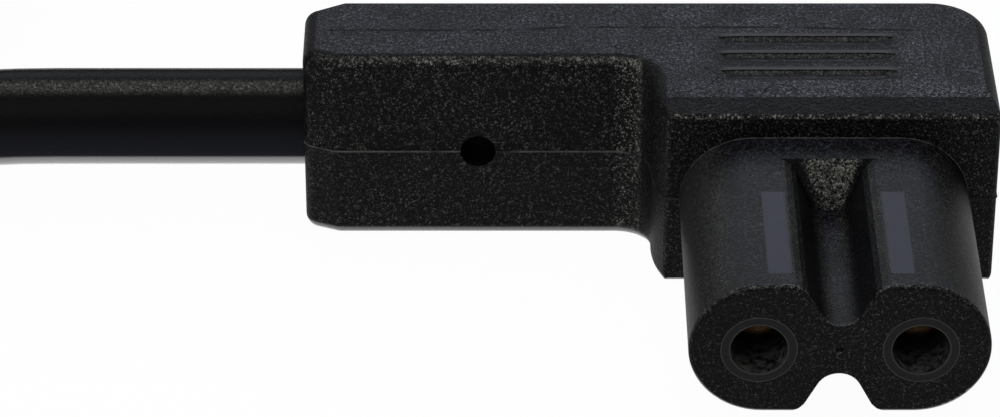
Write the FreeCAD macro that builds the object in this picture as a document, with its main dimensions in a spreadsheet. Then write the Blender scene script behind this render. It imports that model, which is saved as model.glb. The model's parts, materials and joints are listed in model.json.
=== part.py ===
import FreeCAD, Part
import math
import os
import Sketcher
from FreeCAD import Placement, Rotation, Vector

# A right-angled figure eight mains connector on its lead, with a flat two-pin plug at the far end.
# Frame in millimetres: X runs along the grip, the nose points to -Y, Z is up from the resting face.
# The origin lies on the resting face, under the middle of the nose and rest_depth behind the head's front.
# The sizes and helpers below measure Y from the head's front face and shift it into that frame.

doc = FreeCAD.newDocument("figure_eight_connector")
sizes = doc.addObject("Spreadsheet::Sheet", "sizes")
rows = []


def size(name, value):
    """Put one driving size in the sheet and read it back."""
    rows.append(name)
    cell = "B%d" % len(rows)
    sizes.set("A%d" % len(rows), name)
    sizes.set(cell, str(value))
    sizes.setAlias(cell, name)
    sizes.recompute()
    return float(sizes.get(name))


# Frame.
rest_depth = size("rest_depth", 9.0)

# Grip, drawn at the parting plane.
body_height = size("body_height", 11.8)
head_left = size("head_left", 8.8)
head_right = size("head_right", 9.65)
grip_back = size("grip_back", 12.3)
arm_front = size("arm_front", 5.05)
arm_reach = size("arm_reach", 29.15)
side_slant = size("side_slant", 0.7)
side_run = size("side_run", 1.7)
side_round = size("side_round", 6.0)
corner_along = size("corner_along", 2.15)
corner_deep = size("corner_deep", 1.2)
front_along = size("front_along", 1.8)
front_deep = size("front_deep", 0.75)
mould_draft = size("mould_draft", 0.32)
inner_bend = size("inner_bend", 2.0)
back_round = size("back_round", 3.2)
corner_round = size("corner_round", 0.8)
edge_round = size("edge_round", 0.9)
bevel_run = size("bevel_run", 1.75)
bevel_drop = size("bevel_drop", 0.52)
bevel_ease = size("bevel_ease", 0.35)
front_round = size("front_round", 0.35)

# Finger grooves: a steep rear wall, a floor that rises to the front, and ends that run out.
finger_length = size("finger_length", 9.95)
finger_depth = size("finger_depth", 0.3)
finger_wall = size("finger_wall", 0.1)
finger_slope = size("finger_slope", 1.0)
finger_end = size("finger_end", 2.7)
finger_pitch = size("finger_pitch", 1.86)
finger_first = size("finger_first", 4.2)
finger_middle = size("finger_middle", 0.78)

# Locating-pin mark on the parting line of the arm.
mark_diameter = size("mark_diameter", 2.0)
mark_depth = size("mark_depth", 1.5)
mark_along = size("mark_along", 19.27)

# Nose.
nose_width = size("nose_width", 16.1)
nose_height = size("nose_height", 8.0)
nose_length = size("nose_length", 15.0)
nose_root = size("nose_root", 1.0)
nose_edge = size("nose_edge", 0.25)
waist = size("waist", 3.0)
waist_round = size("waist_round", 1.25)
waist_half_angle = size("waist_half_angle", 28.0)
waist_shoulder = size("waist_shoulder", 1.3)
waist_stop = size("waist_stop", 2.2)
waist_ramp = size("waist_ramp", 1.3)
gate_diameter = size("gate_diameter", 0.4)
gate_depth = size("gate_depth", 0.15)

# Contacts and their carrier.
contact_pitch = size("contact_pitch", 8.6)
ring_diameter = size("ring_diameter", 4.1)
hole_diameter = size("hole_diameter", 3.1)
rib_inner = size("rib_inner", 2.57)
rib_width = size("rib_width", 1.32)
rib_front = size("rib_front", 13.7)
rib_back = size("rib_back", 5.6)
bridge_front = size("bridge_front", 2.0)
bridge_back = size("bridge_back", 0.5)
bridge_height = size("bridge_height", 4.5)
pin_bore = size("pin_bore", 2.45)
contact_recess = size("contact_recess", 3.9)
contact_lead_in = size("contact_lead_in", 0.18)
contact_slit = size("contact_slit", 0.4)
contact_slit_length = size("contact_slit_length", 7.0)
contact_floor = size("contact_floor", 0.5)
neck_length = size("neck_length", 1.1)
barrel_length = size("barrel_length", 2.4)
barrel_wall = size("barrel_wall", 0.35)

# Lead and its cores.
lead_diameter = size("lead_diameter", 5.5)
lead_depth = size("lead_depth", 8.95)
sheath_inside = size("sheath_inside", 7.65)
core_diameter = size("core_diameter", 2.2)
copper_diameter = size("copper_diameter", 1.1)
core_spread = size("core_spread", 1.15)
core_start = size("core_start", 0.2)
copper_in_barrel = size("copper_in_barrel", 2.2)
inner_core_bend = size("inner_core_bend", 3.3)
outer_core_bend = size("outer_core_bend", 5.0)

# Stored length: a tied round coil, and the runs that join it to the connector and the plug.
coil_along = size("coil_along", 82.5)
coil_inner_turn = size("coil_inner_turn", 24.75)
coil_layers = size("coil_layers", 3)
coil_columns = size("coil_columns", 2)
coil_bevel = size("coil_bevel", 1.5)
tie_thickness = size("tie_thickness", 0.6)
tie_angle = size("tie_angle", 14.0)
drop_start = size("drop_start", 50.0)
drop_end = size("drop_end", 71.0)
drop_tail = size("drop_tail", 14.0)
leave_angle = size("leave_angle", 30.0)
leave_inset = size("leave_inset", 2.0)
leave_back = size("leave_back", 1.8)

# Plug.
plug_front_along = size("plug_front_along", 2.0)
plug_across = size("plug_across", 50.0)
plug_width = size("plug_width", 35.3)
plug_height = size("plug_height", 13.7)
plug_length = size("plug_length", 24.0)
plug_straight = size("plug_straight", 7.0)
plug_shoulder = size("plug_shoulder", 6.0)
plug_chamfer = size("plug_chamfer", 3.4)
plug_round = size("plug_round", 1.0)
tail_width = size("tail_width", 15.0)
tail_height = size("tail_height", 9.8)
relief_length = size("relief_length", 20.0)
relief_root = size("relief_root", 8.8)
relief_tip = size("relief_tip", 7.4)
relief_slot = size("relief_slot", 1.2)
relief_slot_depth = size("relief_slot_depth", 0.6)
relief_slot_pitch = size("relief_slot_pitch", 3.0)
relief_slots = size("relief_slots", 5)
sheath_in_plug = size("sheath_in_plug", 9.8)
plug_bridge_width = size("plug_bridge_width", 26.0)
plug_bridge_height = size("plug_bridge_height", 8.0)
plug_bridge_depth = size("plug_bridge_depth", 9.0)
prong_pitch = size("prong_pitch", 18.6)
prong_diameter = size("prong_diameter", 4.0)
prong_length = size("prong_length", 19.0)
prong_neck = size("prong_neck", 2.8)
prong_tip = size("prong_tip", 1.0)
sleeve_length = size("sleeve_length", 10.0)
sleeve_diameter = size("sleeve_diameter", 3.6)
cup_length = size("cup_length", 5.0)
cup_depth = size("cup_depth", 4.0)
core_straight = size("core_straight", 16.5)
core_gather = size("core_gather", 24.5)
plug_core_bend = size("plug_core_bend", 4.4)

mid_height = body_height / 2
half_pitch = contact_pitch / 2
MID = "sizes.body_height / 2"
TO_FRAME = " - sizes.rest_depth"


def role_plane(body, role):
    for feature in body.Origin.OriginFeatures:
        if feature.Role == role:
            return feature
    raise RuntimeError("no plane " + role)


def new_body(name, x="0", y="0", z="0"):
    body = doc.addObject("PartDesign::Body", name)
    body.setExpression("Placement.Base.x", x)
    body.setExpression("Placement.Base.y", y + TO_FRAME)
    body.setExpression("Placement.Base.z", z)
    return body


def new_sketch(body, name, role, offset=None):
    sketch = body.newObject("Sketcher::SketchObject", name)
    sketch.AttachmentSupport = [(role_plane(body, role), "")]
    sketch.MapMode = "FlatFace"
    if offset:
        sketch.setExpression("AttachmentOffset.Base.z", offset)
    return sketch


def pin_down(sketch, curve, end, x, y):
    """Hold one end of a curve at a place given by two expressions."""
    for kind, axis, place in (("DistanceX", -2, x), ("DistanceY", -1, y)):
        if place == "0":
            sketch.addConstraint(Sketcher.Constraint("PointOnObject", curve, end, axis))
        else:
            fixed = sketch.addConstraint(Sketcher.Constraint(kind, -1, 1, curve, end, 1.0))
            sketch.setExpression("Constraints[%d]" % fixed, place)


def outline(sketch, corners):
    """Draw a closed run of straight lines through corners given as pairs of expressions."""
    count = len(corners)
    first = sketch.GeometryCount
    for i in range(count):
        start = 2 * math.pi * i / count
        end = 2 * math.pi * (i + 1) / count
        here = Vector(math.cos(start), math.sin(start), 0)
        there = Vector(math.cos(end), math.sin(end), 0)
        sketch.addGeometry(Part.LineSegment(here, there), False)
    for i in range(count):
        after = first + (i + 1) % count
        sketch.addConstraint(Sketcher.Constraint("Coincident", first + i, 2, after, 1))
    for i, (x, y) in enumerate(corners):
        pin_down(sketch, first + i, 1, x, y)
    doc.recompute()


def edge_names(shape, wanted):
    return ["Edge%d" % (i + 1) for i, edge in enumerate(shape.Edges) if wanted(edge)]


def fillet(body, name, base, wanted, radius):
    doc.recompute()
    found = edge_names(base.Shape, wanted)
    if not found:
        raise RuntimeError("no edges for " + name)
    feature = body.newObject("PartDesign::Fillet", name)
    feature.Base = (base, found)
    feature.setExpression("Radius", radius)
    doc.recompute()
    return feature


def upright_at(x, y):
    """Choose the upright edge that starts near a place on the parting plane."""

    def wanted(edge):
        low = min(edge.Vertexes, key=lambda v: v.Z).Point
        return len(edge.Vertexes) == 2 and math.hypot(low.x - x, low.y - y) < 0.02 and abs(
            edge.Vertexes[0].Z - edge.Vertexes[1].Z
        ) > 1.0

    return wanted


def turned(body, name, corners, axis_role, role="XY_Plane"):
    """Turn a straight-sided section about one of the body's own axes."""
    sketch = new_sketch(body, name + "_section", role)
    outline(sketch, corners)
    feature = body.newObject("PartDesign::Revolution", name)
    feature.Profile = sketch
    feature.ReferenceAxis = (role_plane(body, axis_role), [""])
    feature.Angle = 360
    doc.recompute()
    return feature


def box(name, x, y, z, length, width, height):
    solid = doc.addObject("Part::Box", name)
    for key, place in (("x", x), ("y", y + TO_FRAME), ("z", z)):
        solid.setExpression("Placement.Base." + key, place)
    for key, extent in (("Length", length), ("Width", width), ("Height", height)):
        solid.setExpression(key, extent)
    return solid


def rod(name, x, y, z, radius, height, turn):
    solid = doc.addObject("Part::Cylinder", name)
    solid.Placement = Placement(Vector(), turn)
    for key, place in (("x", x), ("y", y + TO_FRAME), ("z", z)):
        solid.setExpression("Placement.Base." + key, place)
    solid.setExpression("Radius", radius)
    solid.setExpression("Height", height)
    return solid


def joined(name, shapes):
    whole = doc.addObject("Part::MultiFuse", name)
    whole.Shapes = shapes
    whole.Refine = True
    return whole


def cut(name, base, tool):
    rest = doc.addObject("Part::Cut", name)
    rest.Base = base
    rest.Tool = tool
    rest.Refine = True
    return rest


ALONG_Y = Rotation(Vector(1, 0, 0), -90)
ALONG_X = Rotation(Vector(0, 1, 0), 90)


def path_wire(points, radii=None):
    """Join points by straight runs with a tangent arc at each turn, as large as its runs allow."""
    edges = []
    here = points[0]
    made = []
    for i in range(1, len(points) - 1):
        back = points[i - 1] - points[i]
        ahead = points[i + 1] - points[i]
        half_turn = (math.pi - back.getAngle(ahead)) / 2
        reach = 0.45 * min(back.Length, ahead.Length)
        if radii:
            reach = radii[i - 1] * math.tan(half_turn)
        back.normalize()
        ahead.normalize()
        enter = points[i] + back * reach
        leave = points[i] + ahead * reach
        radius = reach / math.tan(half_turn)
        inward = (back + ahead).normalize()
        middle = points[i] + inward * (radius / math.cos(half_turn) - radius)
        edges.append(Part.LineSegment(here, enter).toShape())
        edges.append(Part.Arc(enter, middle, leave).toShape())
        made.append(radius)
        here = leave
    edges.append(Part.LineSegment(here, points[-1]).toShape())
    return Part.Wire(edges), made


def tube_shape(points, radius, radii=None):
    wire, made = path_wire(points, radii)
    along = points[1] - points[0]
    ring = Part.Wire([Part.Circle(points[0], along, radius).toShape()])
    solid = wire.makePipeShell([ring], True, True)
    expected = math.pi * radius * radius * wire.Length
    print("tube of radius %.2f: arcs %s" % (radius, ["%.1f" % r for r in made]))
    print("  volume over section times length %.4f" % (solid.Volume / expected))
    return solid


def feature(name, shape):
    solid = doc.addObject("Part::Feature", name)
    solid.Shape = shape
    solid.setExpression("Placement.Base.y", "0" + TO_FRAME)
    return solid


# The grip is drawn as its upper mould half and mirrored about the parting plane.
overmould = new_body("grip_and_nose", z=MID)
at_parting = new_sketch(overmould, "plan_at_parting", "XY_Plane")
ARM_END = "-sizes.arm_reach"
outline(
    at_parting,
    [
        ("-sizes.head_left", "0"),
        ("sizes.head_right", "0"),
        ("sizes.head_right", "sizes.grip_back"),
        ("sizes.corner_along - sizes.arm_reach", "sizes.grip_back"),
        (ARM_END, "sizes.grip_back - sizes.corner_deep"),
        (ARM_END, "sizes.arm_front + sizes.front_deep"),
        ("sizes.front_along - sizes.arm_reach", "sizes.arm_front"),
        ("-sizes.head_left - sizes.side_slant", "sizes.arm_front"),
        ("-sizes.head_left - sizes.side_slant", "sizes.side_run"),
    ],
)
upper_half = overmould.newObject("PartDesign::Pad", "upper_half")
upper_half.Profile = at_parting
upper_half.setExpression("Length", MID)
doc.recompute()


def arm_wall(face):
    """Choose the arm's front wall and the bevel at its end, which lean back from the parting plane."""
    return face.normalAt(0, 0).y < -0.5 and face.CenterOfMass.y > 0.9 * arm_front


half = overmould.newObject("PartDesign::Draft", "draft_on_arm")
half.Base = (
    upper_half,
    ["Face%d" % (i + 1) for i, face in enumerate(upper_half.Shape.Faces) if arm_wall(face)],
)
half.NeutralPlane = (role_plane(overmould, "XY_Plane"), [""])
half.setExpression("Angle", "atan(sizes.mould_draft / (" + MID + "))")
doc.recompute()

junction = fillet(
    overmould, "inner_corner", half, upright_at(-head_left - side_slant, arm_front), "sizes.inner_bend"
)
rear = fillet(overmould, "rear_corner", junction, upright_at(head_right, grip_back), "sizes.back_round")
cord_side = fillet(
    overmould,
    "cord_side_corners",
    rear,
    lambda e: upright_at(-arm_reach, grip_back - corner_deep)(e)
    or upright_at(corner_along - arm_reach, grip_back)(e)
    or upright_at(-arm_reach, arm_front + front_deep)(e)
    or upright_at(front_along - arm_reach, arm_front)(e),
    "sizes.corner_round",
)
head_side = fillet(
    overmould,
    "head_side_bend",
    cord_side,
    upright_at(-head_left - side_slant, side_run),
    "sizes.side_round",
)


def rim_but_front(edge):
    """Choose the top rim apart from the head's front edge."""
    if any(abs(v.Z - mid_height) > 0.01 for v in edge.Vertexes):
        return False
    return any(v.Y > 0.01 for v in edge.Vertexes)


rim = fillet(overmould, "rim", head_side, rim_but_front, "sizes.edge_round")

bevel_section = new_sketch(overmould, "bevel_section", "YZ_Plane")
outline(
    bevel_section,
    [
        ("sizes.bevel_run + sizes.bevel_ease", MID),
        (
            "sizes.bevel_run - sizes.bevel_ease",
            MID + " - sizes.bevel_drop * sizes.bevel_ease / sizes.bevel_run",
        ),
        (
            "sizes.front_round / 2",
            MID + " - sizes.bevel_drop * (1 - sizes.front_round / 2 / sizes.bevel_run)",
        ),
        ("0", MID + " - sizes.bevel_drop - sizes.front_round / 2"),
        ("-1", MID + " - sizes.bevel_drop - sizes.front_round / 2"),
        ("-1", MID + " + 1"),
        ("sizes.bevel_run + sizes.bevel_ease", MID + " + 1"),
    ],
)
bevel = overmould.newObject("PartDesign::Pocket", "head_bevel")
bevel.Profile = bevel_section
bevel.Type = "Length"
bevel.SideType = "Symmetric"
bevel.Length = 60
front_corners = fillet(
    overmould,
    "front_corners",
    bevel,
    lambda e: upright_at(-head_left, 0)(e) or upright_at(head_right, 0)(e),
    "sizes.front_round",
)
overmould.Tip = front_corners

# A finger groove is a straight run of one section, carried up out of the surface at both ends by a disc.
LOW = MID + " - sizes.finger_depth"
REACH = "(sizes.finger_length / 2 - sqrt(sizes.finger_depth * (2 * sizes.finger_end - sizes.finger_depth)))"


def finger_sketch(name, along):
    """Draw the groove's section, twice as tall as the groove is deep, at a place along the grip."""
    sketch = new_sketch(overmould, name, "YZ_Plane", along)
    outline(
        sketch,
        [
            ("sizes.finger_first - sizes.finger_wall", LOW),
            ("sizes.finger_first + sizes.finger_wall", MID + " + sizes.finger_depth"),
            (
                "sizes.finger_first - sizes.finger_wall - 2 * sizes.finger_slope",
                MID + " + sizes.finger_depth",
            ),
        ],
    )
    return sketch


finger_run = overmould.newObject("PartDesign::Pocket", "finger_run")
finger_run.Profile = finger_sketch("finger_run_section", "-sizes.finger_middle")
finger_run.Type = "Length"
finger_run.SideType = "Symmetric"
finger_run.setExpression("Length", "2 * " + REACH)
doc.recompute()
finger_cuts = [finger_run]
for side, sign in (("left", " - "), ("right", " + ")):
    section = finger_sketch("finger_end_section_" + side, "-sizes.finger_middle" + sign + REACH)
    axis = section.addGeometry(Part.LineSegment(Vector(0, 9, 0), Vector(10, 9, 0)), True)
    pin_down(section, axis, 1, "0", LOW + " + sizes.finger_end")
    pin_down(section, axis, 2, "sizes.grip_back", LOW + " + sizes.finger_end")
    doc.recompute()
    run_out = overmould.newObject("PartDesign::Groove", "finger_end_" + side)
    run_out.Profile = section
    run_out.ReferenceAxis = (section, ["Axis0"])
    run_out.Angle = 360
    doc.recompute()
    finger_cuts.append(run_out)
fingers = overmould.newObject("PartDesign::LinearPattern", "finger_grooves")
fingers.Originals = finger_cuts
fingers.Direction = (role_plane(overmould, "Y_Axis"), [""])
fingers.setExpression("Length", "2 * sizes.finger_pitch")
fingers.Occurrences = 3
overmould.Tip = fingers
doc.recompute()

both_halves = overmould.newObject("PartDesign::Mirrored", "both_mould_halves")
both_halves.TransformMode = "Whole shape"
both_halves.MirrorPlane = (role_plane(overmould, "XY_Plane"), [""])
overmould.Tip = both_halves
doc.recompute()

# The nose is a stadium pad that starts inside the head.
nose_section = new_sketch(overmould, "nose_section", "XZ_Plane", "-sizes.nose_root")
flat_top = nose_section.addGeometry(Part.LineSegment(Vector(4, 4, 0), Vector(-4, 4, 0)), False)
round_left = nose_section.addGeometry(
    Part.ArcOfCircle(Part.Circle(Vector(-4, 0, 0), Vector(0, 0, 1), 4), math.pi / 2, 3 * math.pi / 2), False
)
flat_bottom = nose_section.addGeometry(Part.LineSegment(Vector(-4, -4, 0), Vector(4, -4, 0)), False)
round_right = nose_section.addGeometry(
    Part.ArcOfCircle(Part.Circle(Vector(4, 0, 0), Vector(0, 0, 1), 4), -math.pi / 2, math.pi / 2), False
)
for one, after in (
    (flat_top, round_left),
    (round_left, flat_bottom),
    (flat_bottom, round_right),
    (round_right, flat_top),
):
    nose_section.addConstraint(Sketcher.Constraint("Tangent", one, 2, after, 1))
nose_section.addConstraint(Sketcher.Constraint("Horizontal", flat_top))
nose_section.addConstraint(Sketcher.Constraint("Horizontal", flat_bottom))
bend = nose_section.addConstraint(Sketcher.Constraint("Radius", round_right, 4.0))
nose_section.setExpression("Constraints[%d]" % bend, "sizes.nose_height / 2")
pin_down(nose_section, round_right, 3, "(sizes.nose_width - sizes.nose_height) / 2", "0")
across = nose_section.addConstraint(Sketcher.Constraint("DistanceX", round_left, 3, round_right, 3, 8.0))
nose_section.setExpression("Constraints[%d]" % across, "sizes.nose_width - sizes.nose_height")
doc.recompute()
nose = overmould.newObject("PartDesign::Pad", "nose")
nose.Profile = nose_section
nose.setExpression("Length", "sizes.nose_length + sizes.nose_root")
nose_end = fillet(
    overmould,
    "nose_end_edge",
    nose,
    lambda e: all(abs(v.Y + nose_length) < 0.001 for v in e.Vertexes),
    "sizes.nose_edge",
)
overmould.Tip = nose_end

# The waist of the figure eight is a rounded V that stops on a ramp before the head.
waist_tool = new_body("waist_tool", z=MID)
waist_section = new_sketch(waist_tool, "waist_section", "XZ_Plane", "sizes.waist_stop")
LEAN = "(sizes.waist_half_angle * 1 deg)"
APEX = "(sizes.waist / 2 + sizes.waist_round - sizes.waist_round / sin(" + LEAN + "))"
SURFACE = "(sizes.nose_height / 2)"
# Near the nose surface the sides bend outward in three steps round the shoulder's radius.
TURN = "((80 - sizes.waist_half_angle) / 6 * 1 deg)"
ROUND = "sizes.waist_shoulder"
ROUND_X = "(%s * cos(%s) + (%s - %s * (1 - sin(%s)) - %s) * tan(%s))" % (
    ROUND, LEAN, SURFACE, ROUND, LEAN, APEX, LEAN
)
waist_side = []
for steps in (1, 3, 5):
    way = "(%s + %d * %s)" % (LEAN, steps, TURN)
    waist_side.append(
        (
            "%s - %s / cos(%s) * cos(%s)" % (ROUND_X, ROUND, TURN, way),
            "%s - %s + %s / cos(%s) * sin(%s)" % (SURFACE, ROUND, ROUND, TURN, way),
        )
    )
waist_side.append(
    (
        "%s - %s * cos(80 deg) + (0.2 + %s * (1 - sin(80 deg))) * tan(80 deg)" % (ROUND_X, ROUND, ROUND),
        SURFACE + " + 0.2",
    )
)
other_side = [("-(" + across_at + ")", up_at) for across_at, up_at in reversed(waist_side)]
outline(waist_section, [("0", APEX)] + waist_side + other_side)
waist_pad = waist_tool.newObject("PartDesign::Pad", "waist_pad")
waist_pad.Profile = waist_section
waist_pad.setExpression("Length", "sizes.nose_length")
waist_keel = fillet(
    waist_tool,
    "waist_keel",
    waist_pad,
    lambda e: all(abs(v.X) < 0.001 for v in e.Vertexes) and abs(e.Vertexes[0].Y - e.Vertexes[-1].Y) > 1,
    "sizes.waist_round",
)
ramp_section = new_sketch(waist_tool, "ramp_section", "YZ_Plane")
outline(
    ramp_section,
    [
        ("-sizes.waist_stop", "sizes.nose_height / 2"),
        ("-sizes.waist_stop - sizes.waist_ramp", "sizes.waist / 2"),
        ("-sizes.waist_stop - sizes.waist_ramp", "-1"),
        ("1", "-1"),
        ("1", "sizes.nose_height / 2 + 1"),
        ("-sizes.waist_stop", "sizes.nose_height / 2 + 1"),
    ],
)
ramp = waist_tool.newObject("PartDesign::Pocket", "waist_ramp_cut")
ramp.Profile = ramp_section
ramp.Type = "Length"
ramp.SideType = "Symmetric"
ramp.setExpression("Length", "2 * sizes.nose_width")
lower_waist = doc.addObject("Part::Mirroring", "lower_waist_tool")
lower_waist.Source = waist_tool
lower_waist.setExpression("Base.z", MID)
lower_waist.Normal = Vector(0, 0, 1)
doc.recompute()

# The hard carrier: two tubes, the bridge between them, and ribs that reach the nose surface.
RING = "sizes.ring_diameter / 2"
HALF = "sizes.contact_pitch / 2"
NOSE_TIP = "-sizes.nose_length"
TUBE_RUN = "sizes.nose_length + sizes.bridge_back"
carrier_bits = [
    box(
        "carrier_bridge",
        "-" + HALF + " - " + RING,
        "-sizes.bridge_front",
        MID + " - sizes.bridge_height / 2",
        "sizes.contact_pitch + sizes.ring_diameter",
        "sizes.bridge_front + sizes.bridge_back",
        "sizes.bridge_height",
    )
]
bores = []
for side, sign in (("left", "-"), ("right", "")):
    middle = sign + HALF
    carrier_bits.append(rod("carrier_tube_" + side, middle, NOSE_TIP, MID, RING, TUBE_RUN, ALONG_Y))
    bores.append(
        rod("carrier_bore_" + side, middle, NOSE_TIP, MID, "sizes.hole_diameter / 2", TUBE_RUN, ALONG_Y)
    )
    near = "sizes.rib_inner" if side == "right" else "-sizes.rib_inner - sizes.rib_width"
    carrier_bits.append(
        box(
            "carrier_rib_" + side,
            near,
            "-sizes.rib_front",
            MID + " - sizes.nose_height / 2",
            "sizes.rib_width",
            "sizes.rib_front - sizes.rib_back",
            "sizes.nose_height",
        )
    )
carrier_outer = joined("carrier_outer", carrier_bits)
carrier = cut("contact_carrier", cut("carrier_one_bore", carrier_outer, bores[0]), bores[1])

# Socket contacts: a slit spring tube, a neck and a crimp barrel.
FRONT = "(sizes.contact_recess - sizes.nose_length)"
WALL = "sizes.hole_diameter / 2"
BORE = "sizes.pin_bore / 2"
BARREL = "(sizes.copper_diameter / 2 + sizes.barrel_wall)"
BARREL_END = "(sizes.bridge_back + sizes.neck_length + sizes.barrel_length)"
contacts = {}
for side, sign in (("left", "-"), ("right", "")):
    contact = new_body("socket_contact_" + side, x=sign + HALF, z=MID)
    turned(
        contact,
        "contact_shell_" + side,
        [
            (BORE + " + sizes.contact_lead_in", FRONT),
            (WALL, FRONT),
            (WALL, "sizes.bridge_back"),
            (BARREL, "sizes.bridge_back + sizes.neck_length"),
            (BARREL, BARREL_END),
            ("sizes.copper_diameter / 2", BARREL_END),
            ("sizes.copper_diameter / 2", BARREL_END + " - sizes.copper_in_barrel"),
            ("0", BARREL_END + " - sizes.copper_in_barrel"),
            ("0", "-sizes.contact_floor"),
            (BORE, "-sizes.contact_floor"),
            (BORE, FRONT + " + sizes.contact_lead_in"),
        ],
        "Y_Axis",
    )
    slit_plan = new_sketch(contact, "slit_plan_" + side, "XY_Plane")
    outline(
        slit_plan,
        [
            ("-sizes.contact_slit / 2", FRONT + " - 1"),
            ("sizes.contact_slit / 2", FRONT + " - 1"),
            ("sizes.contact_slit / 2", FRONT + " + sizes.contact_slit_length"),
            ("-sizes.contact_slit / 2", FRONT + " + sizes.contact_slit_length"),
        ],
    )
    slit = contact.newObject("PartDesign::Pocket", "slit_" + side)
    slit.Profile = slit_plan
    slit.Type = "Length"
    slit.setExpression("Length", "sizes.hole_diameter")
    slit.Reversed = True
    contacts[side] = contact
doc.recompute()

# Lead end and cores inside the grip.
sheath_end = sheath_inside - arm_reach
barrel_end = bridge_back + neck_length + barrel_length
lead_radius = lead_diameter / 2


def core_pair(colour, contact_x, lead_y, bend):
    turn = Vector(contact_x, lead_y, mid_height)
    far = Vector(sheath_end, lead_y, mid_height)
    copper_from = Vector(contact_x, barrel_end - copper_in_barrel, mid_height)
    core_from = Vector(contact_x, barrel_end + core_start, mid_height)
    copper = feature("conductor_" + colour, tube_shape([copper_from, turn, far], copper_diameter / 2, [bend]))
    filled = feature("core_filled_" + colour, tube_shape([core_from, turn, far], core_diameter / 2, [bend]))
    return copper, filled, cut("core_insulation_" + colour, filled, copper)


copper_brown, filled_brown, core_brown = core_pair(
    "brown", -half_pitch, lead_depth - core_spread, inner_core_bend
)
copper_blue, filled_blue, core_blue = core_pair("blue", half_pitch, lead_depth + core_spread, outer_core_bend)

# The stored coil is one ring of the turns' outer shape.
COIL_Y = "sizes.lead_depth + sizes.coil_inner_turn"
coil = new_body("lead_coil", x="-sizes.coil_along", y=COIL_Y)
INSIDE = "(sizes.coil_inner_turn - sizes.lead_diameter / 2)"
OUTSIDE = "(" + INSIDE + " + sizes.coil_columns * sizes.lead_diameter)"
LOFTY = "(sizes.tie_thickness + sizes.coil_layers * sizes.lead_diameter)"
coil_ring = turned(
    coil,
    "coil_ring",
    [
        (INSIDE, "sizes.tie_thickness"),
        (OUTSIDE, "sizes.tie_thickness"),
        (OUTSIDE, LOFTY),
        (INSIDE, LOFTY),
    ],
    "Z_Axis",
    "XZ_Plane",
)
coil_edges = coil.newObject("PartDesign::Chamfer", "coil_edges")
coil_edges.Base = (coil_ring, edge_names(coil_ring.Shape, lambda e: e.Length > 40))
coil_edges.setExpression("Size", "sizes.coil_bevel")
doc.recompute()

band = new_body("tie_filled", x="-sizes.coil_along", y=COIL_Y)
band_section = new_sketch(band, "band_section", "XZ_Plane")
outline(
    band_section,
    [
        ("-" + INSIDE + " + sizes.tie_thickness", "0"),
        ("-" + OUTSIDE + " - sizes.tie_thickness", "0"),
        ("-" + OUTSIDE + " - sizes.tie_thickness", LOFTY + " + sizes.tie_thickness"),
        ("-" + INSIDE + " + sizes.tie_thickness", LOFTY + " + sizes.tie_thickness"),
    ],
)
band_turn = band.newObject("PartDesign::Revolution", "band_turn")
band_turn.Profile = band_section
band_turn.ReferenceAxis = (role_plane(band, "Z_Axis"), [""])
band_turn.setExpression("Angle", "sizes.tie_angle")
band_turn.Midplane = True
doc.recompute()
band_edges = fillet(
    band,
    "band_edges",
    band_turn,
    lambda e: e.Curve.TypeId == "Part::GeomCircle",
    "sizes.coil_bevel + sizes.tie_thickness",
)
tie = cut("coil_tie", band, coil)

# Run from the grip down to the coil.
coil_base = tie_thickness + lead_radius
coil_y = lead_depth + coil_inner_turn
exit_point = Vector(-arm_reach, lead_depth, mid_height)
lead_drop = feature(
    "lead_drop",
    tube_shape(
        [
            exit_point,
            Vector(-drop_start, lead_depth, mid_height),
            Vector(-drop_end, lead_depth, coil_base),
            Vector(-drop_end - drop_tail, lead_depth, coil_base),
        ],
        lead_radius,
    ),
)
lead_end = rod(
    "lead_end",
    ARM_END,
    "sizes.lead_depth",
    MID,
    "sizes.lead_diameter / 2",
    "sizes.sheath_inside",
    ALONG_X,
)
lead = cut("lead_cable", joined("lead_run", [lead_end, lead_drop]), coil)

# Run from the coil to the plug.
plug_mid = plug_height / 2
leave = math.radians(leave_angle)
leave_turn = coil_inner_turn + (coil_columns - 1) * lead_diameter - leave_inset
leave_x = leave_turn * math.sin(leave) - coil_along - leave_back * math.cos(leave)
leave_y = leave_turn * math.cos(leave) + coil_y + leave_back * math.sin(leave)
corner_x = leave_x + (leave_y - plug_across) / math.tan(leave)
relief_end = -plug_front_along - plug_length - relief_length
plug_sheath_end = relief_end + sheath_in_plug
tail_run = feature(
    "tail_run",
    tube_shape(
        [
            Vector(leave_x, leave_y, coil_base),
            Vector(corner_x, plug_across, plug_mid),
            Vector(plug_sheath_end, plug_across, plug_mid),
        ],
        lead_radius,
    ),
)
tail = cut("lead_tail", tail_run, coil)

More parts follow.
